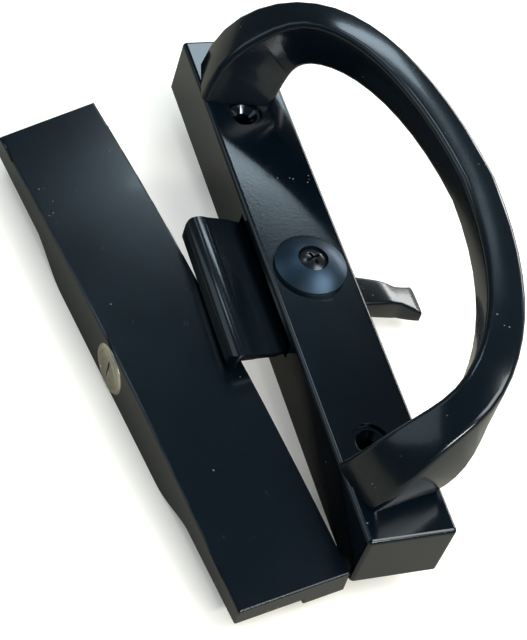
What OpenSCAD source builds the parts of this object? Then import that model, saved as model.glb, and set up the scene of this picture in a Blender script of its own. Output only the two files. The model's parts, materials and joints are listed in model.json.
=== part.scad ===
// Sliding-door lock set: an inside case with a pull handle, a snib lever and a
// hook bolt, and an outside pull with a wafer key cylinder lying beside it.
// Frame: +x is the lever side of the case, +y runs along the case, +z leaves
// its face; the case's back lies on z = 0 and the table plane is table_z.

/* [Case] */
// Length of the inside case
case_length = 200; // [190:1:215]
// Width of the inside case
case_width = 28.5; // [28.5:0.1:31]
// Height of the case from its back to its face
case_height = 21; // [21:0.1:22]
// Thickness of the side walls
wall = 2.4; // [2:0.1:2.6]
// Radius of the outer edges
edge_radius = 1.5; // [0.8:0.1:2]
// Distance of the fixing holes from the case's ends
fixing_inset = 34; // [33:0.5:35]
// Diameter of the fixing holes
fixing_bore = 5.2; // [4.4:0.1:5.6]
// Length of the fixing spigots below the back
spigot_length = 12; // [8:0.5:14]

/* [Handle] */
// Distance of the handle's foot centres from the case's ends
foot_inset = 20.9; // [19:0.1:22]
// Height of the grip's centreline above the back
grip_height = 53.6; // [50:0.2:60]
// Sideways reach of the grip's centreline at the middle
grip_reach = 45.9; // [42:0.1:50]
// Thickness of the grip at the middle
grip_thickness = 12.2; // [10:0.1:14]
// Width of the grip at the middle
grip_width = 11.5; // [10.6:0.1:14]

/* [Latch] */
// Distance between the hook pin and the lever pin
pin_pitch = 13; // [12.8:0.1:13.2]
// Height of both pins above the back
pin_height = 7.5; // [7.3:0.1:7.7]
// Radius of both pins
pin_radius = 1.5; // [1.2:0.1:1.6]
// Width of the hook bolt at its nose
hook_width = 55; // [50:0.5:56]
// Width of the hook bolt where it passes the wall
hook_neck = 51.5; // [46:0.5:52]
// Reach of the lever from its pin to its tip
lever_reach = 38.6; // [36:0.1:39]

/* [Outside pull] */
// Length of the outside pull
pull_length = 188; // [184:1:192]
// Width of the outside pull
pull_width = 36.5; // [36:0.1:37]
// Thickness of the pull at its ends
pull_end = 10; // [9.5:0.1:10.5]
// Rise of the arched top at the middle
pull_crown = 4.5; // [4.3:0.1:5]
// Slant of the pull's upper end
end_slant = 9; // [0:0.5:10]
// Radius of the long edges of the top
pull_edge = 0.8; // [0.4:0.1:1]
// Distance of the threaded spigots from the pull's right edge
boss_inset = 7.25; // [7:0.05:8]
// Bore radius of the threaded spigots
boss_bore = 2.1; // [1.7:0.1:2.3]

/* [Cylinder] */
// Radius of the key cylinder's face
face_radius = 8.3; // [8.1:0.1:8.4]
// Radius of the key plug
plug_radius = 6.2; // [6:0.1:6.3]
// Place of the cylinder along the pull
cylinder_v = -2; // [-6:0.5:4]
// Height of the cylinder's axis above the pull's base
cylinder_w = 5.5; // [5.4:0.1:5.6]

/* [Clearances] */
// Running clearance of pins and plug on the radius
run_gap = 0.04; // [0.02:0.01:0.08]
// Gap between seated pieces that do not touch on purpose
seat_gap = 0.05; // [0.02:0.01:0.1]

/* [Hidden] */
$fn = 48;
eps = 0.02;
table_z = -12;
half_l = case_length / 2;
half_w = case_width / 2;
face_in = case_height - 3;
inner_x = half_w - wall;
inner_y = half_l - wall;
fix_y = half_l - fixing_inset;
foot_reach = half_l - foot_inset;
fix_x = -2;
spigot_radius = 5.5;
pin_x = pin_pitch / 2;
swing = 15;
half_swing = swing / 2;
mesh_radius = pin_x / cos(half_swing);
lug_hook_y = hook_neck / 2 + 0.7;
hook_y = -0.5;
lug_thick = 3;
hub_radius = 4.2;
hub_half = 6;
lug_lever_y = 6.5;
detent_lug = 7.5;
ball_radius = 1;
ball_y = 6.6;
dimple_radius = 2.9;
plate_thick = 1.5;
plate_screw_x = inner_x - 4.85;
plate_screw_y = [half_l - 8, fix_y - 20];
screw_spots = [for (sy = [-1, 1]) each
  [[-plate_screw_x, sy * plate_screw_y[0]], [plate_screw_x, sy * plate_screw_y[1]]]];
cap_radius = 11.75;
cap_rim = 1.2;
cap_rise = 5;
cap_hole = 9;

// Pin ends: each pin stands past its lugs for a clip
pin_over = 1.7;
hook_pin_y0 = hook_y - lug_hook_y - lug_thick - pin_over;
hook_pin_y1 = hook_y + lug_hook_y + lug_thick + pin_over;
lever_pin_y0 = -lug_lever_y - lug_thick - pin_over;
lever_pin_y1 = lug_lever_y + detent_lug + pin_over;

// Lever: where its blade starts, and the place of its narrowest part
lever_in = 3;
waist = 0.766;

// Handle: four points of the upper half's centreline, and the half thickness
// and half width at the foot and in the bend
foot_x = -1;
handle_screw_x = foot_x + 2.2;
handle_screw_y = foot_reach + 2;
grip_p0 = [foot_x, foot_reach, case_height];
grip_p1 = [foot_x + 10.6, foot_reach + 10.3, case_height + 35.6];
grip_p2 = [grip_reach - 2.9, foot_reach - 14, grip_height];
grip_p3 = [grip_reach, 0, grip_height];
foot_dir = (grip_p1 - grip_p0) / norm(grip_p1 - grip_p0);
foot_sink = 10;
foot_half = [11.9, 8.8];
bend_half = [10, 6.4];
corner_radius = 2;

// Key cylinder: x along the axis from the outer face of the pull's wall
plug_out = 0.6;
shell_length = 21.5;
body_radius = plug_radius + 1.2;
flange_in = 2;
plug_length = 20;
clip_x = 3.05;
cam_x = shell_length - plug_out + 0.15;
cam_thick = 2;
cam_pin_radius = 1.25;
cam_throw = 3.5;
slider_x = cam_x + cam_thick + 1.25;
slider_thick = 1.4;
slider_half = 8.6;

// Outside pull: u across, v along, w up from its base
lip_under = 2.8;
base_edge = 4.5;
housing_drop = 3.5;
cover_thick = 1.1;
pull_half = pull_width / 2;
pull_tilt = 4.5;
pull_turn = 9;
pull_z = table_z + pull_half * sin(pull_tilt) + housing_drop * cos(pull_tilt);
boss_u = pull_half - boss_inset;
boss_v = fix_y + 0.5;
pull_arc = pow(pull_length / 2, 2) / (2 * pull_crown) + pull_crown / 2;
upper_end = pull_length / 2 + 1.2;
pull_wall = 3;
cavity_half = 26;
ceiling_w = pull_end + pull_crown - 2.5;
cover_gap = 0.1;
cover_u = -pull_half + pull_wall + 9.25;
cover_v = cavity_half - 5;
guide_u = -pull_half + slider_x;
boss_radius = 4.5;
boss_drop = (pull_z - table_z + (boss_u - boss_radius) * sin(pull_tilt)) / cos(pull_tilt);

// A cylinder along y, centred on (x, z), from y0 to y1.
module along_y(x, z, y0, y1, r) {
  translate([x, y1, z]) rotate([90, 0, 0]) cylinder(r = r, h = y1 - y0);
}

// A cylinder along x, centred on (y, z), from x0 to x1.
module along_x(y, z, x0, x1, r) {
  translate([x0, y, z]) rotate([0, 90, 0]) cylinder(r = r, h = x1 - x0);
}

// A box with its lower edges square and every other edge rounded.
module soft_box(w, l, h, r) {
  translate([-w / 2 + r, -l / 2, 0]) cube([w - 2 * r, l, h - r]);
  translate([-w / 2, -l / 2 + r, 0]) cube([w, l - 2 * r, h - r]);
  translate([-w / 2 + r, -l / 2 + r, 0]) cube([w - 2 * r, l - 2 * r, h]);
  for (sx = [-1, 1]) along_y(sx * (w / 2 - r), h - r, -l / 2 + r, l / 2 - r, r);
  for (sy = [-1, 1]) along_x(sy * (l / 2 - r), h - r, -w / 2 + r, w / 2 - r, r);
  for (sx = [-1, 1], sy = [-1, 1]) translate([sx * (w / 2 - r), sy * (l / 2 - r), 0]) {
    cylinder(r = r, h = h - r);
    translate([0, 0, h - r]) sphere(r = r);
  }
}

// A closed skin over a list of rings that all have the same number of points.
module loft(rings) {
  n = len(rings[0]);
  m = len(rings);
  skin = [for (i = [0:m - 2], j = [0:n - 1], k = [0, 1])
    k == 0 ? [i * n + j, (i + 1) * n + j, i * n + (j + 1) % n]
           : [i * n + (j + 1) % n, (i + 1) * n + j, (i + 1) * n + (j + 1) % n]];
  first = [[for (j = [0:n - 1]) j]];
  last = [[for (j = [n - 1:-1:0]) (m - 1) * n + j]];
  polyhedron([for (ring = rings) for (p = ring) p], concat(first, skin, last));
}

// Unit square with rounded corners, e being the corner size as a share of the half width.
function soft_square(eu, ea, steps) = [for (q = [0:3], s = [0:steps])
  let (a = 90 * q + 90 * s / steps, cx = q == 0 || q == 3 ? 1 : -1, cy = q < 2 ? 1 : -1)
  [cx * (1 - eu) + eu * cos(a), cy * (1 - ea) + ea * sin(a)]];
function unit(v) = v / norm(v);
function ease(t) = t * t * (3 - 2 * t);
function mix(a, b, t) = a + (b - a) * t;

// INSIDE CASE

// Case casting: hollow box with fixing spigots, screw bosses and hinge lugs.
module lock_case() color("#1b2027") {
  difference() {
    union() {
      difference() {
        soft_box(case_width, case_length, case_height, edge_radius);
        translate([-inner_x, -inner_y, -1]) cube([2 * inner_x, 2 * inner_y, face_in + 1]);
      }
      for (sy = [-1, 1]) translate([fix_x, sy * fix_y, -spigot_length])
        cylinder(r = spigot_radius, h = spigot_length + face_in + 1);
      for (p = screw_spots) translate([p[0], p[1], plate_thick + seat_gap])
        cylinder(r = 3, h = face_in - plate_thick);
      for (sy = [-1, 1]) hook_lug(sy);
      lever_lugs();
    }
    for (sy = [-1, 1]) translate([fix_x, sy * fix_y, 0]) {
      translate([0, 0, -spigot_length - 1]) cylinder(d = fixing_bore, h = spigot_length + case_height + 2);
      translate([0, 0, case_height - 1]) cylinder(r = 6, h = 2);
      translate([0, 0, case_height - 3.2]) cylinder(r1 = fixing_bore / 2, r2 = 4.6, h = 2.3);
    }
    for (p = screw_spots) translate([p[0], p[1], 0]) cylinder(r = 1.2, h = 9);
    for (sy = [-1, 1]) translate([handle_screw_x, sy * handle_screw_y, face_in - 1])
      cylinder(r = 2.1, h = 5);
    translate([0, 0, face_in - 1]) cylinder(r = cap_hole, h = 5);
    translate([-half_w - 1, hook_y - hook_neck / 2 - 0.65, 11]) cube([wall + 2, hook_neck + 1.3, 6.8]);
    translate([inner_x - 1, -7, 1.6]) cube([wall + 2, 14, 9.4]);
    along_y(-pin_x, pin_height, -half_l / 2, half_l / 2, pin_radius + run_gap);
    along_y(pin_x, pin_height, -lug_lever_y - 8, lug_lever_y + detent_lug + 1, pin_radius + run_gap);
    along_y(pin_x, pin_height + dimple_radius, lug_lever_y - 1, lug_lever_y + 6.5, ball_radius + seat_gap);
  }
}

// Lug for the hook's pin, outside the hook's width.
module hook_lug(sy) {
  y0 = hook_y + sy * (lug_hook_y + lug_thick / 2) - lug_thick / 2;
  translate([-inner_x - 0.5, y0, pin_height - 3.5])
    cube([inner_x + 0.5 - 3, lug_thick, face_in - pin_height + 4]);
}

// Two lugs for the lever's pin; the thicker one holds the detent.
module lever_lugs() {
  for (s = [[-lug_lever_y - lug_thick, lug_thick], [lug_lever_y, detent_lug]])
    translate([3, s[0], pin_height - 3.5])
      cube([inner_x - 2.5, s[1], face_in - pin_height + 4]);
}

// Steel plate that closes the back of the case.
module back_plate() color("#7d8186") {
  difference() {
    translate([-inner_x + 0.1, -inner_y + 0.1, 0]) cube([2 * inner_x - 0.2, 2 * inner_y - 0.2, plate_thick]);
    for (sy = [-1, 1]) translate([fix_x, sy * fix_y, -1]) cylinder(r = spigot_radius + 0.1, h = 4);
    for (p = screw_spots) translate([p[0], p[1], 0]) {
      translate([0, 0, -1]) cylinder(r = 1.35, h = 4);
      translate([0, 0, -eps]) cylinder(r1 = 2.45 + eps, r2 = 1.35, h = 1.1 + eps);
    }
  }
}

// Countersunk screws of the back plate.
module plate_screws() color("#9a9da1") {
  for (p = screw_spots) translate([p[0], p[1], 0]) difference() {
    union() {
      cylinder(r1 = 2.38, r2 = 1.15, h = 1.1);
      cylinder(r = 1.15, h = 8);
    }
    for (a = [0, 90]) rotate(a) translate([-1.3, -0.25, -1]) cube([2.6, 0.5, 1.6]);
  }
}

// PULL HANDLE

// Centreline of the upper half: leaves the face steeply, then sweeps over.
function grip_line(t) = t < 0 ? grip_p0 - foot_dir * foot_sink
  : grip_p0 * pow(1 - t, 3) + grip_p1 * 3 * t * pow(1 - t, 2)
    + grip_p2 * 3 * t * t * (1 - t) + grip_p3 * pow(t, 3);
function grip_dir(t) = t <= 0 ? foot_dir : t > 0.999 ? [0, -1, 0]
  : unit(grip_line(t + 0.001) - grip_line(t - 0.001));

// One ring of the grip; the half thickness and half width shrink from the foot to the middle.
function grip_ring(t) = let (
    s = max(0, t),
    c = grip_line(t),
    d = grip_dir(t),
    up = unit(mix([-1, 0.2, 0], [0, 0, 1], ease(min(1, s * 2.17)))),
    a = unit(up - d * (up * d)),
    u = cross(a, d),
    near = mix(foot_half, bend_half, ease(min(1, s * 2.4))),
    half = mix(near, [grip_thickness / 2, grip_width / 2], ease(s)))
  [for (p = soft_square(corner_radius / half[1], corner_radius / half[0], 4))
    c + u * (p[0] * half[1]) + a * (p[1] * half[0])];
function across(ring) = [for (p = ring) [p[0], -p[1], p[2]]];

// One-piece pull handle: two feet and a rounded grip that arches over the lever.
module d_handle() color("#1b2027") {
  steps = 18;
  upper = [for (i = [-1:steps - 1]) grip_ring(i / steps)];
  lower = [for (i = [steps - 1:-1:-1]) across(grip_ring(i / steps))];
  difference() {
    loft(concat(upper, [grip_ring(1)], lower));
    translate([-30, -half_l, case_height - 20]) cube([60, case_length, 20]);
    for (sy = [-1, 1]) translate([handle_screw_x, sy * handle_screw_y, case_height - 1])
      cylinder(r = 1.9, h = 13);
  }
}

// Screws that hold the handle from inside the case.
module handle_screws() color("#9a9da1") {
  for (sy = [-1, 1]) translate([handle_screw_x, sy * handle_screw_y, 0]) difference() {
    union() {
      translate([0, 0, face_in - 2.4]) cylinder(r = 3.4, h = 2.4);
      translate([0, 0, face_in - 1]) cylinder(r = 1.85, h = 14);
    }
    translate([0, 0, face_in - 3]) cylinder(r = 1.6, h = 1.9, $fn = 6);
  }
}

// LATCH

// Height of the hook web's top at a place across the case.
function web_top(x) = 14.4 + (-half_w - x) * 0.1443;

// Side view of the hook's web, rounded nose and lip.
module hook_side() {
  nose_x = -29.5;
  nose_z = web_top(nose_x) - 4;
  polygon([[-pin_x - 2, web_top(-pin_x - 2)], [nose_x, web_top(nose_x)],
    [nose_x, web_top(nose_x) - 2.8], [nose_x + 5, web_top(nose_x + 5) - 2],
    [-pin_x - 2, web_top(-pin_x - 2) - 2]]);
  difference() {
    translate([nose_x, nose_z]) circle(r = 4);
    translate([nose_x, nose_z]) circle(r = 1.2);
    translate([nose_x, nose_z - 5]) square([6, 10]);
    translate([nose_x - 5, nose_z - 6]) square([6, 6]);
  }
  translate([nose_x - 4, 10.9]) square([2.8, nose_z - 10.9 + eps]);
  translate([nose_x - 2.6, 10.9]) circle(r = 1.4);
  intersection() {
    translate([-28.4, web_top(-28.4) + 0.35 - 5]) circle(r = 5);
    translate([-31, 14.4]) square([6, 4]);
  }
}

// Plan view of the hook: a neck that flares to a nose with soft corners.
module hook_plan() {
  neck = hook_neck / 2;
  nose = hook_width / 2;
  translate([0, hook_y]) difference() {
    polygon([[0, -neck], [-half_w - 1.5, -neck], [-half_w - 4, -nose + 0.8], [-26, -nose],
      [-36, -nose], [-36, nose], [-26, nose], [-half_w - 4, nose - 0.8],
      [-half_w - 1.5, neck], [0, neck]]);
    for (sy = [-1, 1]) difference() {
      translate([-33.5, sy * nose]) square([7, 7], center = true);
      translate([-30, sy * (nose - 3.5)]) circle(r = 3.5);
    }
  }
}

// Arm that carries the web on the hook's pin.
module hook_arm(y0, h) {
  translate([0, y0 + h, 0]) rotate([90, 0, 0]) linear_extrude(h) {
    translate([-pin_x, pin_height]) circle(r = 3.4);
    polygon([[-11, web_top(-11) - 1], [-pin_x - 2, web_top(-pin_x - 2) - 1],
      [-pin_x + 1, pin_height + 3.2], [-pin_x + 1, pin_height - 1], [-pin_x - 3, pin_height - 1.4]]);
  }
}

// Hook bolt: web and hooked nose outside, three arms and a fork inside.
module hook_bolt() color("#1b2027") {
  difference() {
    union() {
      intersection() {
        translate([0, 40, 0]) rotate([90, 0, 0]) linear_extrude(80) hook_side();
        translate([0, 0, 5]) linear_extrude(16) hook_plan();
      }
      for (y0 = [-21, 16, -3.5]) hook_arm(y0, y0 == -3.5 ? 7 : 5);
      translate([-pin_x, 3.5, pin_height]) rotate([90, 0, 0]) linear_extrude(7) rotate(half_swing)
        translate([0, -3.2]) square([8.2, 6.4]);
    }
    translate([-pin_x, 5, pin_height]) rotate([90, 0, 0]) linear_extrude(10) rotate(half_swing)
      translate([mesh_radius - 2.1, -1.5]) square([6, 3]);
    along_y(-pin_x, pin_height, -40, 40, pin_radius + run_gap);
  }
}

// A plain pin along y with a clip groove near each end.
module grooved_pin(x, y0, y1) {
  difference() {
    along_y(x, pin_height, y0, y1, pin_radius);
    for (g = [[y0 + 0.8, y0 + 1.5], [y1 - 1.5, y1 - 0.8]]) difference() {
      along_y(x, pin_height, g[0], g[1], pin_radius + 1);
      along_y(x, pin_height, g[0] - 1, g[1] + 1, pin_radius - 0.4);
    }
  }
}

// Open spring clip in a pin's groove.
module pin_clip(x, y0) {
  difference() {
    along_y(x, pin_height, y0 + 0.05, y0 + 0.65, 3);
    along_y(x, pin_height, y0 - 1, y0 + 2, pin_radius - 0.35);
    translate([x - 0.8, y0 - 1, pin_height - 4]) cube([1.6, 3, 4]);
  }
}

module hook_pin() color("#9a9da1") {
  grooved_pin(-pin_x, hook_pin_y0, hook_pin_y1);
}

module lever_pin() color("#9a9da1") {
  grooved_pin(pin_x, lever_pin_y0, lever_pin_y1);
}

// Four clips, two on each pin.
module pin_clips() color("#7d8186") {
  pin_clip(-pin_x, hook_pin_y0 + 0.8);
  pin_clip(-pin_x, hook_pin_y1 - 1.5);
  pin_clip(pin_x, lever_pin_y0 + 0.8);
  pin_clip(pin_x, lever_pin_y1 - 1.5);
}

// Half width, top and underside of the lever at a share of its reach.
function lever_x(t) = pin_x + mix(lever_in, lever_reach, t);
function lever_half(t) = 6.2 - 2.1 * pow(min(1, t / waist), 2.6) + 1.6 * pow(max(0, (t - waist) / 0.2), 1.2);
function lever_top(t) = pin_height + 1.05 - 7.6 * pow(t, 1.15) - 9.1 * max(0, t - 0.62);
function lever_under(t) = pin_height - 3.9 - 13 * t + 2.9 * pow(max(0, (t - 0.72) / 0.28), 2);

// Ring of the lever, drawn square to the case.
function lever_ring(t, k) = let (h = lever_half(t) * k,
    mid = (lever_top(t) + lever_under(t)) / 2, v = (lever_top(t) - lever_under(t)) / 2 * k)
  [for (p = soft_square(0.3, 0.32, 4)) [lever_x(t), p[0] * h, mid + p[1] * v]];

// Snib lever: drooping thumb piece, hub and the finger that works the fork.
module snib_lever() color("#1b2027") {
  steps = 18;
  difference() {
    union() {
      loft(concat([for (i = [0:steps]) lever_ring(i / steps * 0.985, 1)],
        [lever_ring(1, 0.86), lever_ring(1.012, 0.62)]));
      along_y(pin_x, pin_height, -hub_half, hub_half, hub_radius);
      translate([pin_x, 0, pin_height]) rotate([0, half_swing, 0]) translate([-mesh_radius, -2.5, -0.8])
        cube([mesh_radius, 5, 1.6]);
      translate([pin_x, 0, pin_height]) rotate([0, half_swing, 0])
        along_y(-mesh_radius, 0, -2.5, 2.5, 1.2);
    }
    along_y(pin_x, pin_height, -20, 20, pin_radius + run_gap);
    for (a = [90, 90 - swing])
      translate([pin_x + dimple_radius * cos(a), ball_y, pin_height + dimple_radius * sin(a)])
        sphere(r = ball_radius + 0.06);
  }
}

module detent_ball() color("#c8cacc") {
  translate([pin_x, ball_y, pin_height + dimple_radius]) sphere(r = ball_radius);
}

// A coil along z: mean radius rm, wire radius rw, n turns in the height h.
module coil(rm, rw, n, h, cuts, sides) {
  loft([for (i = [0:n * cuts]) let (a = 360 * i / cuts, z = h * i / (n * cuts))
    [for (j = [0:sides - 1]) let (b = 360 * j / sides, r = rm + rw * cos(b))
      [r * cos(a), r * sin(a), z + rw * sin(b)]]]);
}

// Spring behind the detent ball.
module detent_spring() color("#b0b2b5") {
  translate([pin_x, lug_lever_y + 6.25, pin_height + dimple_radius]) rotate([90, 0, 0])
    coil(0.78, 0.16, 6, 4.9, 12, 6);
}

// Domed cover over the service hole, with a seat for its screw.
module dome_cap() color("#26303c") {
  crown = cap_rise - cap_rim;
  ball = (cap_radius * cap_radius + crown * crown) / (2 * crown);
  difference() {
    union() {
      translate([0, 0, case_height]) cylinder(r = cap_radius, h = cap_rim);
      intersection() {
        translate([0, 0, case_height + cap_rise - ball]) sphere(r = ball, $fn = 96);
        translate([0, 0, case_height + cap_rim - eps]) cylinder(r = cap_radius, h = cap_rise);
      }
      translate([0, 0, case_height - 2.4]) cylinder(r = cap_hole - 0.1, h = 3);
    }
    translate([0, 0, case_height + 2.6]) cylinder(r = 4.9, h = 6);
    translate([0, 0, case_height - 4]) cylinder(r = 2.1, h = 8);
  }
}

// Cross-recessed screw in the cap's seat.
module cap_screw() color("#9a9da1") {
  seat = case_height + 2.6;
  difference() {
    union() {
      translate([0, 0, seat]) cylinder(r = 4.5, h = 1);
      intersection() {
        translate([0, 0, seat + 2.1 - 10]) sphere(r = 10, $fn = 64);
        translate([0, 0, seat + 1 - eps]) cylinder(r = 4.5, h = 3);
      }
      translate([0, 0, face_in - 2.2]) cylinder(r = 2, h = 8);
    }
    for (a = [20, 110]) rotate(a) translate([-2.4, -0.5, seat + 0.5]) cube([4.8, 1, 4]);
  }
}

// Strap under the face that the cap's screw pulls against.
module cap_bridge() color("#7d8186") {
  difference() {
    translate([-2.8, -13.5, face_in - 2.2]) cube([5.6, 27, 2.2]);
    translate([0, 0, face_in - 4]) cylinder(r = 2 + run_gap, h = 6);
  }
}

// OUTSIDE PULL

// The outside pull lies beside the case, turned and slightly tilted on the table.
module in_pull_frame() {
  translate([-46.8, -9.5, pull_z]) rotate([0, -pull_tilt, pull_turn]) children();
}

// Frame of the key cylinder: x along its axis into the pull, origin in the left wall.
module in_cylinder_frame() {
  in_pull_frame() translate([-pull_width / 2, cylinder_v, cylinder_w]) children();
}

// Side view of the pull above a level, under its arched top.
module pull_side(w0) {
  intersection() {
    translate([-pull_length / 2, w0]) square([pull_length + 6, pull_end + pull_crown - w0]);
    translate([0, pull_end + pull_crown - pull_arc]) circle(r = pull_arc, $fn = 1200);
  }
}

// Arched bar with rounded long edges: a slice of a wide ring around an axis below.
module pull_skin() {
  deep = 22;
  translate([0, 0, pull_end + pull_crown - pull_arc]) rotate([0, -90, 0]) rotate([0, 0, -7])
    rotate_extrude(angle = 14, $fn = 1200) {
      translate([pull_arc - deep, -pull_half]) square([deep - pull_edge, pull_width]);
      translate([pull_arc - deep, -pull_half + pull_edge]) square([deep, pull_width - 2 * pull_edge]);
      for (sv = [-1, 1]) translate([pull_arc - pull_edge, sv * (pull_half - pull_edge)])
        circle(r = pull_edge, $fn = 24);
    }
}

// Side view of the lock housing that swells below the middle of the pull.
module housing_side() {
  full = pull_length * 0.2;
  fade = pull_length * 0.33;
  translate([cylinder_v, 0]) polygon(concat(
    [for (i = [0:10]) let (t = i / 10) [mix(-fade, -full, t), mix(lip_under + 0.5, -housing_drop, ease(t))]],
    [for (i = [0:10]) let (t = i / 10) [mix(full, fade, t), mix(-housing_drop, lip_under + 0.5, ease(t))]],
    [[fade, pull_end], [-fade, pull_end]]));
}

// Lay a side view along the pull: from u0, over a width.
module side_slab(u0, wide) {
  translate([u0, 0, 0]) rotate([90, 0, 90]) linear_extrude(wide) children();
}

// Outside pull casting: arched bar with a lip, a base pad and the lock housing.
module outer_pull() color("#1b2027") {
  in_pull_frame() difference() {
    union() {
      difference() {
        intersection() {
          union() {
            side_slab(-pull_half, pull_width) pull_side(lip_under);
            side_slab(base_edge, pull_half - base_edge) pull_side(0);
            side_slab(-pull_half, pull_half + base_edge + 2) housing_side();
          }
          pull_skin();
        }
        translate([0, upper_end, -1]) rotate(end_slant) translate([-pull_width, 0, 0])
          cube([2 * pull_width, 20, pull_end + pull_crown + 2]);
        translate([base_edge + 2.4, -pull_length / 2 + 2.4, -1])
          cube([pull_half - base_edge - 4.8, pull_length - 4.8, pull_end - 1.5]);
        translate([-pull_half + pull_wall, cylinder_v - cavity_half, -housing_drop - 1])
          cube([pull_half + base_edge - pull_wall, 2 * cavity_half, housing_drop + 2]);
        translate([-pull_half + pull_wall, cylinder_v - cavity_half, 0])
          cube([pull_width - 2 * pull_wall, 2 * cavity_half, ceiling_w]);
      }
      for (sv = [-1, 1]) translate([boss_u, sv * boss_v, -boss_drop])
        cylinder(r = boss_radius, h = boss_drop + pull_end - 1);
      for (sv = [-1, 1])
        translate([cover_u, cylinder_v + sv * cover_v, -housing_drop + cover_thick + seat_gap])
        cylinder(r = 3, h = ceiling_w + housing_drop - cover_thick);
      for (sv = [-1, 1]) translate([guide_u - 1.3, cylinder_v + sv * (slider_half + 0.9) - 1.5, 0])
        cube([slider_thick + 2.6, 3, ceiling_w + 0.5]);
    }
    translate([guide_u - seat_gap, cylinder_v - slider_half - 0.2, -1])
      cube([slider_thick + 2 * seat_gap, 2 * slider_half + 0.4, ceiling_w + 1]);
    for (sv = [-1, 1]) translate([boss_u, sv * boss_v, -boss_drop - 1]) cylinder(r = boss_bore, h = 14);
    for (sv = [-1, 1]) translate([cover_u, cylinder_v + sv * cover_v, -housing_drop]) cylinder(r = 1.35, h = 8);
    translate([-pull_half - 1, cylinder_v, cylinder_w]) rotate([0, 90, 0]) {
      cylinder(r = face_radius + seat_gap, h = flange_in + 1);
      cylinder(r = body_radius + seat_gap, h = slider_x - 0.1);
    }
  }
}

// Cylinder body: flanged tube with a slot for the wafers' lower ends.
module cylinder_shell() color("#b9b5ad") {
  in_cylinder_frame() difference() {
    union() {
      translate([-plug_out, 0, 0]) rotate([0, 90, 0])
        cylinder(r1 = face_radius - 0.5, r2 = face_radius, h = 0.5 + eps);
      along_x(0, 0, -plug_out + 0.5, flange_in - seat_gap, face_radius);
      along_x(0, 0, 0, shell_length - plug_out, body_radius);
    }
    along_x(0, 0, -2, shell_length + 2, plug_radius + run_gap);
    translate([3.4, -1.8, -face_radius]) cube([14, 3.6, face_radius]);
    translate([-1, -1, -face_radius - 0.4]) cube([1.2, 2, 1.4]);
    difference() {
      along_x(0, 0, clip_x, clip_x + 0.8, body_radius + 1);
      along_x(0, 0, clip_x - 1, clip_x + 2, body_radius - 0.5);
    }
  }
}

// Key plug with a bevelled face, the keyway and five wafer slots.
module key_plug() color("#c9c4ba") {
  in_cylinder_frame() difference() {
    union() {
      translate([-plug_out, 0, 0]) rotate([0, 90, 0])
        cylinder(r1 = plug_radius - 0.35, r2 = plug_radius, h = 0.35 + eps);
      along_x(0, 0, -plug_out + 0.35, plug_length - plug_out, plug_radius);
    }
    keyway();
    for (i = [0:4]) translate([wafer_x(i) - 0.5, -1.6, -plug_radius - 1]) cube([1, 3.2, plug_radius + 5.8]);
    for (i = [0:4]) translate([wafer_x(i) - 0.65, 1.5, -4.2]) cube([1.3, 1.5, 4.4]);
    along_x(0, 0, plug_length - plug_out - 5, plug_length + 1, 1.2);
  }
}

// Keyway: two offset slots that read as a zigzag in the face.
module keyway() {
  translate([-2, -0.45, -1.2]) cube([plug_length - 4, 0.9, 4.9]);
  translate([-2, 0.1, -4.2]) cube([plug_length - 4, 0.9, 3.3]);
}
function wafer_x(i) = 4.4 + i * 2.6;

// Five wafers, drawn in as a key holds them, each with a window and a spring ear.
module wafers() color("#c8a85a") {
  in_cylinder_frame() for (i = [0:4]) translate([wafer_x(i) - 0.38, 0, 0]) difference() {
    union() {
      translate([0, -1.45, -plug_radius + 0.25]) cube([0.76, 2.9, plug_radius + 4.3]);
      translate([0, 1, -1.15]) cube([0.76, 1.8, 0.9]);
    }
    translate([-1, -0.9, -1.1 + 0.25 * (i % 3)]) cube([3, 1.8, 3.4]);
  }
}

// Small coil springs under the wafers' ears.
module wafer_springs() color("#b0b2b5") {
  in_cylinder_frame() for (i = [0:4]) translate([wafer_x(i), 2.2, -4.05])
    coil(0.4, 0.12, 4, 2.76, 8, 5);
}

// Cam on the plug's end with the eccentric pin that drives the slider.
module cylinder_cam() color("#9a9da1") {
  in_cylinder_frame() difference() {
    union() {
      along_x(0, 0, cam_x, cam_x + cam_thick, body_radius - 0.6);
      along_x(0, 0, plug_length - plug_out, cam_x + eps, 2.6);
      along_x(cam_throw * cos(45), -cam_throw * sin(45),
        cam_x + 1, slider_x + slider_thick + 0.2, cam_pin_radius);
    }
    along_x(0, 0, plug_length - plug_out - 1, cam_x + cam_thick + 2, 1.25);
  }
}

// Screw that holds the cam on the plug.
module cam_screw() color("#b9b5ad") {
  head_x = cam_x + cam_thick;
  in_cylinder_frame() difference() {
    union() {
      along_x(0, 0, head_x, head_x + 1, 1.8);
      along_x(0, 0, plug_length - plug_out - 4, head_x + eps, 1.15);
    }
    translate([head_x + 0.5, -2, -0.25]) cube([1, 4, 0.5]);
  }
}

// Slider that the cam's pin lifts; its slot lies across the lift.
module drive_slider() color("#7d8186") {
  pin_z = -cam_throw * sin(45);
  slot = cam_pin_radius + 0.15;
  in_cylinder_frame() difference() {
    translate([slider_x, -slider_half, -5.4]) cube([slider_thick, 2 * slider_half, 6.5]);
    translate([slider_x - 1, cam_throw * cos(45) - slot, pin_z - slot])
      cube([slider_thick + 2, cam_throw * (1 - cos(45)) + 2 * slot, 2 * slot]);
  }
}

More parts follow.
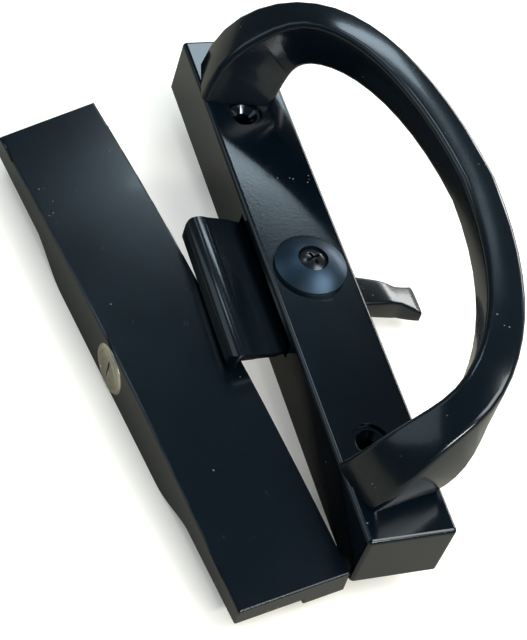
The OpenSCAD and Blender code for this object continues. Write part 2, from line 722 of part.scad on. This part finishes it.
// Cover under the lock housing.
module base_plate() color("#7d8186") {
  in_pull_frame() difference() {
    translate([-pull_half + pull_wall + cover_gap, cylinder_v - cavity_half + cover_gap, -housing_drop])
      cube([pull_half + base_edge - pull_wall - 2 * cover_gap, 2 * (cavity_half - cover_gap), cover_thick]);
    for (sv = [-1, 1]) translate([cover_u, cylinder_v + sv * cover_v, -housing_drop]) {
      translate([0, 0, -1]) cylinder(r = 1.45, h = 4);
      translate([0, 0, -eps]) cylinder(r1 = 2.4 + eps, r2 = 1.45, h = 0.95 + eps);
    }
  }
}

// Two countersunk screws of the cover.
module base_screws() color("#9a9da1") {
  in_pull_frame() for (sv = [-1, 1])
    translate([cover_u, cylinder_v + sv * cover_v, -housing_drop]) difference() {
    union() {
      cylinder(r1 = 2.3, r2 = 1.3, h = 0.95);
      cylinder(r = 1.3, h = 7);
    }
    for (a = [0, 90]) rotate(a) translate([-1.3, -0.25, -1]) cube([2.6, 0.5, 1.5]);
  }
}

// Open spring clip behind the pull's wall, in the shell's groove.
module cylinder_clip() color("#7d8186") {
  in_cylinder_frame() difference() {
    along_x(0, 0, clip_x + 0.05, clip_x + 0.75, body_radius + 0.5);
    along_x(0, 0, clip_x - 1, clip_x + 2, body_radius - 0.45);
    translate([clip_x - 1, -10, 5.9]) cube([3, 20, 6]);
  }
}

lock_case();
back_plate();
plate_screws();
d_handle();
handle_screws();
hook_bolt();
hook_pin();
snib_lever();
lever_pin();
pin_clips();
detent_ball();
detent_spring();
dome_cap();
cap_screw();
cap_bridge();
outer_pull();
cylinder_shell();
key_plug();
wafers();
wafer_springs();
cylinder_cam();
cam_screw();
drive_slider();
base_plate();
base_screws();
cylinder_clip();
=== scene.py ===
import json
import math

import bmesh
import bpy
from mathutils import Euler, Matrix, Vector

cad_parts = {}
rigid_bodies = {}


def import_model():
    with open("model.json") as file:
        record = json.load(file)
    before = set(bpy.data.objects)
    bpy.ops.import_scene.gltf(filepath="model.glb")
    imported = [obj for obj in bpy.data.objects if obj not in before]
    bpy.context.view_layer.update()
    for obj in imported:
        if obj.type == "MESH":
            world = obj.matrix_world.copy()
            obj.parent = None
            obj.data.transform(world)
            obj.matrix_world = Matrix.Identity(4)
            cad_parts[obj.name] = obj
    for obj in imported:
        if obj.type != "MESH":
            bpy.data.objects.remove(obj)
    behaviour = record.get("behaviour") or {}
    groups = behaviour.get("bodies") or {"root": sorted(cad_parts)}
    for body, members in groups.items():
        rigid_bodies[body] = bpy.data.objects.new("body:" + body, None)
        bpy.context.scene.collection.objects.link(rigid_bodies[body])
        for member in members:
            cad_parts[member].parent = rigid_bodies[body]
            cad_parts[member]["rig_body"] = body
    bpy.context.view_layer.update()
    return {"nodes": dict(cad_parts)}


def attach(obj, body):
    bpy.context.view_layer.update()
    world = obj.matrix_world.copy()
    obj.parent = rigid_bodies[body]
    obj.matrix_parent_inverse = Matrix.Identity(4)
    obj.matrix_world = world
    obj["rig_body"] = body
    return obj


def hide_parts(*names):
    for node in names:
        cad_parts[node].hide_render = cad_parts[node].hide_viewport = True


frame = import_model()
scene = bpy.context.scene
scene.view_settings.view_transform = "Standard"

# Camera: a long lens, as the photograph was taken with, looking down on the set
# from in front of its lower left corner. Its turn and place were fitted to the
# corners of the case and of the pull.
cam_right = Vector((0.928107, -0.287086, 0.237065))
cam_down = Vector((-0.089192, -0.789634, -0.607061))
cam_ahead = Vector((0.361473, 0.542273, -0.75847))
cam_place = Vector((-0.238118, -0.34373, 0.475528))
lens_px = 1968.7
picture_height = 640
sensor_tall = 32.0
camera_data = bpy.data.cameras.new("camera")
camera_data.sensor_fit = "VERTICAL"
camera_data.sensor_height = sensor_tall
camera_data.lens = lens_px / picture_height * sensor_tall
camera_data.clip_start = 0.05
camera_data.clip_end = 20.0
camera = bpy.data.objects.new("camera", camera_data)
cam_turn = Matrix((cam_right, -cam_down, -cam_ahead)).transposed().to_4x4()
camera.matrix_world = Matrix.Translation(cam_place) @ cam_turn
scene.collection.objects.link(camera)
scene.camera = camera

# Lock case: one zinc die casting, a shallow box with rounded edges and two
# ringed holes for the through screws, stoved in near-black gloss paint. Every
# other piece of the inside unit is carried by it.
case_black = (0.0010, 0.0032, 0.0060)
case_gloss = 0.13
ring_round = 0.0006
ring_rim = (0.0054, 0.0066)
ring_level = 0.0185
hole_out = 0.066
nodes = frame["nodes"]


class Value:
    """A socket in a node tree; sums, products and comparisons become Math nodes."""

    def __init__(self, tree, output):
        self.tree = tree
        self.output = output

    def beside(self, label):
        """Another output of the same node."""
        return Value(self.tree, self.output.node.outputs[label])

    def math(self, operation, *others):
        node = self.tree.nodes.new("ShaderNodeMath")
        node.operation = operation
        for inlet, value in zip(node.inputs, (self,) + others):
            feed(self.tree, inlet, value)
        return Value(self.tree, node.outputs[0])

    def __add__(self, other):
        return self.math("ADD", other)

    def __sub__(self, other):
        return self.math("SUBTRACT", other)

    def __mul__(self, other):
        return self.math("MULTIPLY", other)

    def __truediv__(self, other):
        return self.math("DIVIDE", other)

    def __gt__(self, other):
        return self.math("GREATER_THAN", other)

    def __lt__(self, other):
        return self.math("LESS_THAN", other)


def feed(tree, inlet, value):
    """Link a value, or each value of a list, to an input, or set it to a constant."""
    for source in value if isinstance(value, list) else [value]:
        if isinstance(source, Value):
            tree.links.new(source.output, inlet)
        else:
            inlet.default_value = source


class Workbench:
    """One way to add nodes to a tree: a type, its settings and its inputs."""

    def __init__(self, tree):
        self.tree = tree

    def add(self, kind, settings=None, out=0, **inputs):
        """Inputs go by name, or by number as i0, i1 where a node repeats a name."""
        node = self.tree.nodes.new(kind)
        for key, value in (settings or {}).items():
            setattr(node, key, value)
        for key, value in inputs.items():
            place = int(key[1:]) if key[1:].isdigit() else key.replace("_", " ")
            feed(self.tree, node.inputs[place], value)
        return Value(self.tree, node.outputs[out])


class Finish(Workbench):
    """A material in the making, with its one shader."""

    def __init__(self, name):
        self.material = bpy.data.materials.new(name)
        self.material.use_nodes = True
        super().__init__(self.material.node_tree)
        self.shader = self.tree.nodes["Principled BSDF"]

    def where(self):
        return self.add("ShaderNodeTexCoord", out="Object")

    def mix(self, share, low, high):
        """Two colours in a share that varies."""
        low, high = [c if isinstance(c, Value) else (*c, 1.0) for c in (low, high)]
        return self.add("ShaderNodeMix", {"data_type": "RGBA"}, out=2, i0=share, i6=low, i7=high)

    def set(self, **inputs):
        for key, value in inputs.items():
            feed(self.tree, self.shader.inputs[key.replace("_", " ")], value)
        return self.material


# What varies in the paint: waves to the metre, and how much each pattern adds.
haze_waves = 38.0
haze_gain = 1.5
haze_lift = 0.0005
haze_dull = 0.08
peel_waves = 900.0
peel_strength = 0.05
peel_depth = 0.0002
scuff_waves = 75.0
scuff_from = 0.66
scuff_dull = 0.10
dust_waves = 430.0
dust_size = 0.11
dust_patch_waves = 120.0
dust_patch_from = 0.68
dust_grey = (0.50, 0.50, 0.48)
dust_cover = 0.4
dust_dull = 0.3


def gloss_paint(name, black, gloss, coat=0.15):
    """Stoved paint: faint orange peel, cloudy gloss, thin scuffs and specks of dust."""
    made = Finish(name)
    where = made.where()
    haze = made.add("ShaderNodeTexNoise", Vector=where, Scale=haze_waves, Detail=4.0,
                    Roughness=0.6)
    skin = made.add("ShaderNodeTexNoise", Vector=where, Scale=peel_waves, Detail=2.0)
    scuff = made.add("ShaderNodeTexNoise", Vector=where, Scale=scuff_waves, Detail=6.0,
                     Roughness=0.75, Distortion=1.6)
    grain = made.add("ShaderNodeTexVoronoi", Vector=where, Scale=dust_waves, Randomness=1.0)
    patch = made.add("ShaderNodeTexNoise", Vector=where, Scale=dust_patch_waves, Detail=1.0)
    speck = (grain < dust_size) * (patch > dust_patch_from)
    body = made.mix(haze, black, [c * haze_gain + haze_lift for c in black])
    dull = haze * haze_dull + (scuff > scuff_from) * scuff_dull + speck * dust_dull
    bump = made.add("ShaderNodeBump", Height=skin, Strength=peel_strength, Distance=peel_depth)
    return made.set(Base_Color=made.mix(speck * dust_cover, body, dust_grey),
                    Roughness=dull + (gloss - haze_dull / 2), Normal=bump, IOR=1.5,
                    Coat_Weight=coat, Coat_Roughness=0.05)


# Solids are joined up within merge_gap, flattened within flat_within degrees,
# and rounded only on edges sharper than sharp_from degrees.
merge_gap = 2e-6
flat_within = 0.3
sharp_from = 45.0
usual_crease = 32.0


def smooth_over(shell, crease):
    """Smooth shading over every curve; edges sharper than the crease stay crisp."""
    for face in shell.faces:
        face.smooth = True
    for edge in shell.edges:
        edge.smooth = len(edge.link_faces) == 2 and edge.calc_face_angle(0) < math.radians(crease)


def settle(piece, name):
    """The new piece takes the place and the body of the CAD node, which is hidden."""
    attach(piece, nodes[name]["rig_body"])
    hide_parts(name)


def recast(name, finish, soften=0.0, crease=usual_crease, steps=3, chosen=None, clamp=True,
           even=False):
    """A joined-up copy of a CAD solid, its sharp edges rounded where a radius is given."""
    mesh = nodes[name].data.copy()
    shell = bmesh.new()
    shell.from_mesh(mesh)
    bmesh.ops.remove_doubles(shell, verts=shell.verts, dist=merge_gap)
    bmesh.ops.dissolve_limit(shell, angle_limit=math.radians(flat_within), verts=shell.verts,
                             edges=shell.edges)
    if soften:
        sharp = [edge for edge in shell.edges if len(edge.link_faces) == 2
                 and edge.calc_face_angle(0) > math.radians(sharp_from)
                 and (chosen is None or chosen(edge))]
        bmesh.ops.bevel(shell, geom=sharp, offset=soften, segments=steps, profile=0.5,
                        affect="EDGES", clamp_overlap=clamp, loop_slide=True)
    smooth_over(shell, crease)
    shell.to_mesh(mesh)
    shell.free()
    mesh.materials.clear()
    mesh.materials.append(finish)
    piece = bpy.data.objects.new(name + "_cast", mesh)
    scene.collection.objects.link(piece)
    if even:
        piece.modifiers.new("even_gloss", "WEIGHTED_NORMAL").keep_sharp = True
    settle(piece, name)


def on_ring(edge):
    """The rims of the two shallow rings round the fixing holes."""
    middle = (edge.verts[0].co + edge.verts[1].co) / 2
    apart = math.hypot(middle.x, abs(middle.y) - hole_out)
    return middle.z > ring_level and ring_rim[0] < apart < ring_rim[1]


recast("lock_case", gloss_paint("case_paint", case_black, case_gloss), soften=ring_round,
       chosen=on_ring, even=True)

# Back plate: the galvanised sheet that closes the case from behind, with holes
# for the case's spigots. It is stamped flat, and passivated.
zinc = (0.46, 0.48, 0.50)
scratch_waves = 1500.0
scratch_depth = 0.0001
scratch_dull = 0.14
tarnish_waves = 150.0
tarnish_shade = 0.78
tarnish_dull = 0.08
spangle_waves = 260.0
spangle_shade = 0.55
sheet_round = 0.0001


def bare_metal(name, colour, rough, grain, spangle=0.0):
    """Metal with fine scratches, a cloudy tone and, on plate, the spangle of zinc."""
    made = Finish(name)
    where = made.where()
    fine = made.add("ShaderNodeTexNoise", Vector=where, Scale=scratch_waves, Detail=3.0,
                    Roughness=0.7)
    cloud = made.add("ShaderNodeTexNoise", Vector=where, Scale=tarnish_waves, Detail=3.0)
    crystal = made.add("ShaderNodeTexVoronoi", Vector=where, Scale=spangle_waves,
                       Randomness=1.0)
    tone = made.mix(cloud, [c * tarnish_shade for c in colour], colour)
    shown = made.mix(crystal * spangle, tone, [c * spangle_shade for c in colour])
    dull = fine * scratch_dull + cloud * tarnish_dull
    bump = made.add("ShaderNodeBump", Height=fine, Strength=grain, Distance=scratch_depth)
    return made.set(Base_Color=shown, Metallic=1.0, Normal=bump,
                    Roughness=dull + (rough - (scratch_dull + tarnish_dull) / 2))


def galvanised(name):
    """The zinc-coated sheet of the plates and of the cap's bridge."""
    return bare_metal(name, zinc, rough=0.42, grain=0.25, spangle=0.5)


recast("back_plate", galvanised("back_zinc"), soften=sheet_round, steps=1)

# Countersunk screws of the back plate: four self-cutting steel screws with a
# cross recess, driven into the posts of the case. Rolled thread, zinc plated.
plate_screw_head = 0.00238
plate_screw_neck = 0.00115
plate_screw_sink = 0.0011
plate_screw_length = 0.008
plate_screw_spots = ((-0.007, -0.092), (0.007, -0.046), (0.007, 0.046), (-0.007, 0.092))
recess_wide = 0.0026
recess_slot = 0.0005
recess_deep = 0.0006
thread_pitch = 0.0008
core_share = 0.8
ridge_share = 0.2
plain_turns = 1.2
screw_steel = bare_metal("screw_steel", (0.60, 0.60, 0.58), rough=0.3, grain=0.2)


class Shaper(Workbench):
    """A Geometry Nodes tree in the making, with a named input for each size."""

    def __init__(self, name, **sizes):
        super().__init__(bpy.data.node_groups.new(name, "GeometryNodeTree"))
        face = self.tree.interface
        face.new_socket("Geometry", in_out="INPUT", socket_type="NodeSocketGeometry")
        for label, value in {**sizes, "turn": (0.0, 0.0, 0.0)}.items():
            kind = "Vector" if isinstance(value, tuple) else "Float"
            made = face.new_socket(label, in_out="INPUT", socket_type="NodeSocket" + kind)
            made.default_value = value
        face.new_socket("Material", in_out="INPUT", socket_type="NodeSocketMaterial")
        face.new_socket("Geometry", in_out="OUTPUT", socket_type="NodeSocketGeometry")
        self.entry = self.tree.nodes.new("NodeGroupInput")

    def given(self, label):
        return Value(self.tree, self.entry.outputs[label])

    def vector(self, x=0.0, y=0.0, z=0.0):
        return self.add("ShaderNodeCombineXYZ", X=x, Y=y, Z=z)

    def raised(self, geometry, height):
        return self.add("GeometryNodeTransform", Geometry=geometry,
                        Translation=self.vector(z=height))

    def join(self, *parts):
        return self.add("GeometryNodeJoinGeometry", Geometry=list(reversed(parts)))

    def repeat(self, body):
        """The body turned and set on every given point, made real, with its material."""
        turned = self.add("FunctionNodeEulerToRotation", Euler=self.given("turn"))
        many = self.add("GeometryNodeInstanceOnPoints", Points=self.given("Geometry"),
                        Instance=body, Rotation=turned)
        real = self.add("GeometryNodeRealizeInstances", Geometry=many)
        done = self.add("GeometryNodeSetMaterial", Geometry=real,
                        Material=self.given("Material"))
        leave = self.tree.nodes.new("NodeGroupOutput")
        feed(self.tree, leave.inputs[0], done)
        return self.tree


def screw_tree():
    """Head with a crossed recess, core and rolled thread; inputs name its sizes."""
    work = Shaper("countersunk_screw", head=plate_screw_head, neck=plate_screw_neck,
                  sink=plate_screw_sink, length=plate_screw_length, pitch=thread_pitch,
                  recess=recess_wide, slot=recess_slot, depth=recess_deep)
    head, neck, sink = work.given("head"), work.given("neck"), work.given("sink")
    length, pitch = work.given("length"), work.given("pitch")
    recess, slot, depth = work.given("recess"), work.given("slot"), work.given("depth")
    cone = work.add("GeometryNodeMeshCone", {"fill_type": "NGON"}, Vertices=40,
                    Radius_Bottom=head, Radius_Top=neck, Depth=sink)
    bars = [work.add("GeometryNodeMeshCube", Size=size) for size in
            (work.vector(recess, slot, depth * 2.0), work.vector(slot, recess, depth * 2.0))]
    crossed = work.add("GeometryNodeMeshBoolean", {"operation": "DIFFERENCE", "solver": "EXACT"},
                       Mesh_1=cone, Mesh_2=bars)
    radius = neck * core_share
    core_from = sink * 0.5
    core = work.add("GeometryNodeMeshCylinder", Vertices=20, Radius=radius,
                    Depth=length - core_from)
    core = work.raised(core, (length + core_from) * 0.5)
    turns = (length - sink) / pitch - plain_turns
    helix = work.add("GeometryNodeCurveSpiral", Resolution=20, Rotations=turns,
                     Start_Radius=radius, End_Radius=radius, Height=turns * pitch)
    helix = work.raised(helix, sink + pitch * 0.5)
    ridge = work.add("GeometryNodeCurvePrimitiveCircle", Resolution=3, Radius=neck * ridge_share)
    thread = work.add("GeometryNodeCurveToMesh", i0=helix, i1=ridge, Fill_Caps=True)
    return work.repeat(work.join(crossed, core, thread))


def grow(name, way, tree, spots, finish, crease=usual_crease, **sizes):
    """One plain mesh from a tree that is fed with points and its named sizes."""
    mesh = bpy.data.meshes.new(f"{name}_{way}")
    mesh.from_pydata([tuple(spot) for spot in spots], [], [])
    piece = bpy.data.objects.new(f"{name}_{way}", mesh)
    scene.collection.objects.link(piece)
    rig = piece.modifiers.new("shape", "NODES")
    rig.node_group = tree
    keys = {item.name: item.identifier for item in tree.interface.items_tree
            if item.in_out == "INPUT"}
    rig[keys["Material"]] = finish
    for label, value in sizes.items():
        rig[keys[label]] = value
    seen = piece.evaluated_get(bpy.context.evaluated_depsgraph_get())
    plain = bpy.data.meshes.new_from_object(seen)
    piece.modifiers.remove(rig)
    piece.data = plain
    shell = bmesh.new()
    shell.from_mesh(plain)
    bmesh.ops.recalc_face_normals(shell, faces=shell.faces)
    smooth_over(shell, crease)
    shell.to_mesh(plain)
    shell.free()
    settle(piece, name)


countersunk = screw_tree()
plate_spots = [(x, y, 0.0) for x, y in plate_screw_spots]
grow("plate_screws", "rolled", countersunk, plate_spots, screw_steel)

# D-handle: one zinc casting that sweeps out and over from each foot, painted as
# the case is. Two steel screws from inside the case hold it.
handle_black = (0.0012, 0.0034, 0.0062)
handle_gloss = 0.19
handle_steel = (0.55, 0.55, 0.53)
cast_crease = 50.0


def finish_node(name, finish):
    """The CAD solid stays as it is and takes its finish."""
    nodes[name].data.materials.clear()
    nodes[name].data.materials.append(finish)


recast("d_handle", gloss_paint("handle_paint", handle_black, handle_gloss), crease=cast_crease)
finish_node("handle_screws", bare_metal("handle_screw_steel", handle_steel, rough=0.34, grain=0.2))

# Snib lever: a small casting that pivots in the case and stands out through
# its slot; the hand rocks it, and its hub carries the hook with it.
lever_black = (0.0014, 0.0032, 0.0050)
lever_gloss = 0.22
recast("snib_lever", gloss_paint("lever_paint", lever_black, lever_gloss), crease=cast_crease)

# Hook bolt: pressed from steel and painted. Its lip is curled down to catch the
# keeper, and its arms inside the case turn on the hook's pin.
hook_black = (0.0014, 0.0034, 0.0055)
hook_gloss = 0.2
hook_round = 0.0005
recast("hook_bolt", gloss_paint("hook_paint", hook_black, hook_gloss), soften=hook_round)

# Pins of the hook and the lever: turned steel rods, grooved near both ends,
# each held by two spring clips.
pin_steel = bare_metal("pin_steel", (0.62, 0.62, 0.62), rough=0.26, grain=0.2)
pin_round = 0.0002
for pin in ("hook_pin", "lever_pin"):
    recast(pin, pin_steel, soften=pin_round, steps=2)

# Spring clips: open rings stamped from blued spring steel, snapped sideways
# into the pins' grooves, two to a pin.
clip_ring = 0.00207
clip_width = 0.00186
clip_sheet = 0.0006
clip_opening = 0.39
pin_apart = 0.0065
pin_level = 0.0075
hook_clip_rows = (-0.0305, 0.0295)
lever_clip_rows = (-0.01005, 0.01455)
along_case = (math.pi / 2, 0.0, 0.0)
clip_steel = bare_metal("clip_steel", (0.30, 0.31, 0.34), rough=0.36, grain=0.2)


def clip_tree():
    """An open flat ring: an arc swept with a flat strip, set on each point."""
    work = Shaper("open_clip", radius=clip_ring, wide=clip_width, thick=clip_sheet,
                  gap=clip_opening)
    gap = work.given("gap")
    arc = work.add("GeometryNodeCurveArc", Resolution=40, Radius=work.given("radius"),
                   Start_Angle=gap - math.pi / 2, Sweep_Angle=gap * -2.0 + 2 * math.pi)
    strip = work.add("GeometryNodeCurvePrimitiveQuadrilateral", Width=work.given("wide"),
                     Height=work.given("thick"))
    ring = work.add("GeometryNodeCurveToMesh", i0=arc, i1=strip, Fill_Caps=True)
    return work.repeat(ring)


clip_spots = [(-pin_apart, y, pin_level) for y in hook_clip_rows]
clip_spots += [(pin_apart, y, pin_level) for y in lever_clip_rows]
grow("pin_clips", "stamped", clip_tree(), clip_spots, clip_steel, turn=along_case)

# Detent: a coil spring of steel wire behind a polished steel ball, both in a
# bore of the case's thicker lug, where the ball meets dimples in the lever's hub.
coil_radius = 0.00078
coil_wire = 0.00016
coil_turns = 6.0
coil_height = 0.0049
coil_crease = 60.0
detent_foot = (pin_apart, 0.01275, 0.0104)
spring_steel = bare_metal("spring_steel", (0.58, 0.58, 0.60), rough=0.28, grain=0.15)


def coil_tree():
    """A round wire wound to a helix, its cut ends filled, set on each point."""
    work = Shaper("coil_spring", radius=coil_radius, wire=coil_wire, turns=coil_turns,
                  height=coil_height)
    radius = work.given("radius")
    helix = work.add("GeometryNodeCurveSpiral", Resolution=20, Rotations=work.given("turns"),
                     Start_Radius=radius, End_Radius=radius, Height=work.given("height"))
    wire = work.add("GeometryNodeCurvePrimitiveCircle", Resolution=8, Radius=work.given("wire"))
    return work.repeat(work.add("GeometryNodeCurveToMesh", i0=helix, i1=wire, Fill_Caps=True))


wound = coil_tree()
grow("detent_spring", "wound", wound, [detent_foot], spring_steel, crease=coil_crease,
     turn=along_case)
finish_node("detent_ball", bare_metal("ball_steel", (0.70, 0.70, 0.71), rough=0.16, grain=0.1))

# Dome cap: a turned and spun cover, sprayed in a satin blue-black, that hides
# the middle of the case; its screw pulls on a bridge under the face.
cap_blue = (0.040, 0.066, 0.098)
# The near-black below is painted shade for the screw's well in the cap.
cap_well_painted_shade = (0.004, 0.006, 0.009)
cap_well = 0.0049
cap_rough = 0.34
cap_metal = 0.8
cap_crease = 24.0
flake_waves = 2600.0
flake_strength = 0.15
flake_depth = 0.0001
satin_waves = 220.0
satin_shade = 0.8
satin_dull = 0.08
cap_screw_black = (0.0040, 0.0050, 0.0065)
cap_screw_gloss = 0.26
cap_screw_coat = 0.3
cap_screw_round = 0.00014
bridge_round = 0.0002


def cap_satin():
    """Satin blue-black with a fine metallic flake; the screw's well is painted dark, as shade, and
    is not metallic.
    """
    made = Finish("cap_satin")
    where = made.where()
    along = made.add("ShaderNodeSeparateXYZ", Vector=where)
    across = along.beside("Y")
    outside = (along * along + across * across).math("SQRT") > cap_well
    flake = made.add("ShaderNodeTexNoise", Vector=where, Scale=flake_waves, Detail=2.0)
    cloud = made.add("ShaderNodeTexNoise", Vector=where, Scale=satin_waves, Detail=3.0)
    body = made.mix(cloud, [c * satin_shade for c in cap_blue], cap_blue)
    bump = made.add("ShaderNodeBump", Height=flake, Strength=flake_strength,
                    Distance=flake_depth)
    return made.set(Base_Color=made.mix(outside, cap_well_painted_shade, body), Metallic=outside * cap_metal,
                    Roughness=cloud * satin_dull + cap_rough, Normal=bump)


recast("dome_cap", cap_satin(), crease=cap_crease)
screw_paint = gloss_paint("screw_black", cap_screw_black, cap_screw_gloss, cap_screw_coat)
recast("cap_screw", screw_paint, soften=cap_screw_round, crease=cap_crease)
recast("cap_bridge", galvanised("bridge_zinc"), soften=bridge_round, steps=2)

# Outside pull: one zinc casting, an arched bar with a lip and a housing for the
# cylinder, painted as the case is. It leans beside the case; its own frame,
# turned and tilted, also carries the pieces inside it.
pull_black = (0.0010, 0.0032, 0.0064)
pull_gloss = 0.2
end_round = 0.0006
pull_place = Vector((-0.0468, -0.0095, -0.007079))
pull_lean = math.radians(-4.5)
pull_yaw = math.radians(9.0)
pull_along = Vector((-math.sin(pull_yaw), math.cos(pull_yaw), 0.0))
end_facing = 0.95
end_from = 0.085
foot_level = -0.0105


def on_end(edge):
    """The upper outline of the pull's two end faces."""
    ends = [abs(face.normal.dot(pull_along)) > end_facing for face in edge.link_faces]
    middle = (edge.verts[0].co + edge.verts[1].co) / 2
    far_out = abs((middle - pull_place).dot(pull_along)) > end_from
    return far_out and any(ends) and not all(ends) and middle.z > foot_level


recast("outer_pull", gloss_paint("pull_paint", pull_black, pull_gloss), soften=end_round,
       chosen=on_end, clamp=False, even=True)

# Key cylinder: a turned brass shell and plug with satin nickel plating, dulled
# to beige, held in the pull's side by an open clip.
nickel_plate = (0.86, 0.79, 0.66)
plug_shade = 0.95
plug_plate = [c * plug_shade for c in nickel_plate]
shell_round = 0.00012
plug_round = 0.00008
recast("cylinder_shell", bare_metal("shell_nickel", nickel_plate, rough=0.33, grain=0.3),
       soften=shell_round, steps=2)
recast("key_plug", bare_metal("plug_nickel", plug_plate, rough=0.30, grain=0.3),
       soften=plug_round, steps=2)
recast("cylinder_clip", clip_steel, soften=plug_round, steps=1)

# Wafers: five brass plates stamped from sheet, each with a window for the key
# and an ear that its own small spring pushes up.
wafer_brass = (0.70, 0.50, 0.24)
wafer_round = 0.00005
wafer_count = 5
wafer_first = 0.0044
wafer_pitch = 0.0026
wafer_ear = 0.0022
ear_spring_foot = -0.00405
ear_spring = {"radius": 0.0004, "wire": 0.00012, "turns": 4.0, "height": 0.00276}
cylinder_place = Vector((-0.01825, -0.002, 0.0055))
pull_turned = Euler((0.0, pull_lean, pull_yaw))
pull_frame = Matrix.Translation(pull_place) @ pull_turned.to_matrix().to_4x4()
recast("wafers", bare_metal("wafer_brass", wafer_brass, rough=0.32, grain=0.25),
       soften=wafer_round, steps=1)
wafer_feet = [pull_frame @ (cylinder_place + Vector(
    (wafer_first + wafer_pitch * i, wafer_ear, ear_spring_foot))) for i in range(wafer_count)]
grow("wafer_springs", "wound", wound, wafer_feet, spring_steel, crease=coil_crease,
     turn=tuple(pull_turned), **ear_spring)

# Cam, its screw and the slider, all of zinc-plated steel. The cam sits on the
# plug's end, and its pin lifts the slider, which works the lock in the door.
recast("cylinder_cam", bare_metal("cam_zinc", zinc, rough=0.38, grain=0.25, spangle=0.3),
       soften=shell_round, steps=2)
finish_node("cam_screw", screw_steel)
recast("drive_slider", bare_metal("slider_zinc", zinc, rough=0.40, grain=0.25, spangle=0.4),
       soften=shell_round, steps=2)

# Base plate: the stamped cover below the cylinder, with two countersunk screws
# of the same make as the back plate's.
base_screw = {"head": 0.0023, "neck": 0.0013, "sink": 0.00095, "length": 0.007}
base_screw_row = -0.006
base_screw_level = -0.0035
base_screw_places = (-0.023, 0.019)
recast("base_plate", galvanised("base_zinc"), soften=sheet_round, steps=1)
base_spots = [pull_frame @ Vector((base_screw_row, v, base_screw_level))
              for v in base_screw_places]
grow("base_screws", "rolled", countersunk, base_spots, screw_steel,
     turn=tuple(pull_turned), **base_screw)

# Floor: a matt pale sheet. A glow that only the camera sees in full, and
# reflections faintly, runs it out to white; an occlusion mask fades it close
# to the object, a painted shadow. Reflections see the sheet itself darker.
table_z = -0.012
floor_half = 3.0
floor_under = 0.0001
floor_pale = (0.76, 0.71, 0.60)
floor_mirrored = (0.40, 0.37, 0.29)
floor_glow = (0.80, 0.80, 0.79)
mirrored_glow = 0.1
painted_shadow_reach = 0.025
floor_waves = 40.0
floor_gain = 1.03
floor_rough = 0.9
floor_corners = ((-1, -1), (1, -1), (1, 1), (-1, 1))
floor_mesh = bpy.data.meshes.new("floor")
floor_mesh.from_pydata([(x * floor_half, y * floor_half, table_z - floor_under)
                        for x, y in floor_corners], [], [(0, 1, 2, 3)])
floor = bpy.data.objects.new("floor", floor_mesh)
scene.collection.objects.link(floor)
ground = Finish("pale_floor")
grain = ground.add("ShaderNodeTexNoise", Vector=ground.where(), Scale=floor_waves,
                   Detail=3.0)
straight = ground.add("ShaderNodeLightPath", out="Is Camera Ray")
mirrored = straight.beside("Is Glossy Ray")
# The occlusion below paints a shadow on the floor: the glow fades near the object.
outside_painted_shadow = ground.add("ShaderNodeAmbientOcclusion", {"samples": 8}, out="AO",
                      Distance=painted_shadow_reach)
glow_with_painted_shadow = ground.mix((straight + mirrored * mirrored_glow) * outside_painted_shadow, (0.0, 0.0, 0.0), floor_glow)
lit = ground.mix(grain, floor_pale, [c * floor_gain for c in floor_pale])
floor_mesh.materials.append(ground.set(
    Base_Color=ground.mix(mirrored, lit, floor_mirrored), Roughness=floor_rough,
    Emission_Color=glow_with_painted_shadow, Emission_Strength=1.0))

# Studio: an even, dim blue room that the camera sees as white, and six soft
# lamps, placed where the gloss paint mirrors them about as in the photograph.
room_tint = (0.60, 0.85, 1.0, 1.0)
room_level = 0.13
plain_white = (1.0, 1.0, 1.0)
day_white = (0.9, 0.97, 1.0)
cool = (0.70, 0.88, 1.0)
world = bpy.data.worlds.new("studio")
scene.world = world
world.use_nodes = True
room = Workbench(world.node_tree)
dim = room.add("ShaderNodeBackground", Color=room_tint, Strength=room_level)
white = room.add("ShaderNodeBackground", Color=(*plain_white, 1.0), Strength=1.0)
both = room.add("ShaderNodeMixShader", i1=dim, i2=white,
                i0=room.add("ShaderNodeLightPath", out="Is Camera Ray"))
feed(room.tree, world.node_tree.nodes["World Output"].inputs["Surface"], both)


def soft_lamp(name, place, size, watts, colour, aim=(0.0, 0.0, 0.0)):
    """A rectangular lamp that faces a point of the set."""
    data = bpy.data.lights.new(name, "AREA")
    data.shape = "RECTANGLE"
    data.size, data.size_y = size
    data.energy = watts
    data.color = colour
    lamp = bpy.data.objects.new(name, data)
    ahead = (Vector(aim) - Vector(place)).normalized()
    turned = ahead.to_track_quat("-Z", "Y").to_matrix().to_4x4()
    lamp.matrix_world = Matrix.Translation(place) @ turned
    scene.collection.objects.link(lamp)


soft_lamp("key_lamp", place=(0.5, -0.3, 0.9), size=(0.6, 0.6), watts=7.0, colour=day_white)
soft_lamp("fill_lamp", place=(-0.9, 0.5, 0.7), size=(0.8, 0.8), watts=2.0, colour=cool)
soft_lamp("back_lamp", place=(0.56, 1.22, 1.12), size=(0.55, 0.36), watts=4.5, colour=cool,
          aim=(0.0, 0.06, 0.0))
soft_lamp("top_lamp", place=(-0.14, 0.71, 1.30), size=(0.26, 0.26), watts=1.1, colour=cool)
soft_lamp("front_lamp", place=(0.17, -1.0, 0.70), size=(0.6, 0.10), watts=9.0,
          colour=plain_white)
soft_lamp("side_lamp", place=(1.5, 0.95, 0.32), size=(0.9, 0.3), watts=8.0,
          colour=plain_white, aim=(0.0, 0.0, 0.02))
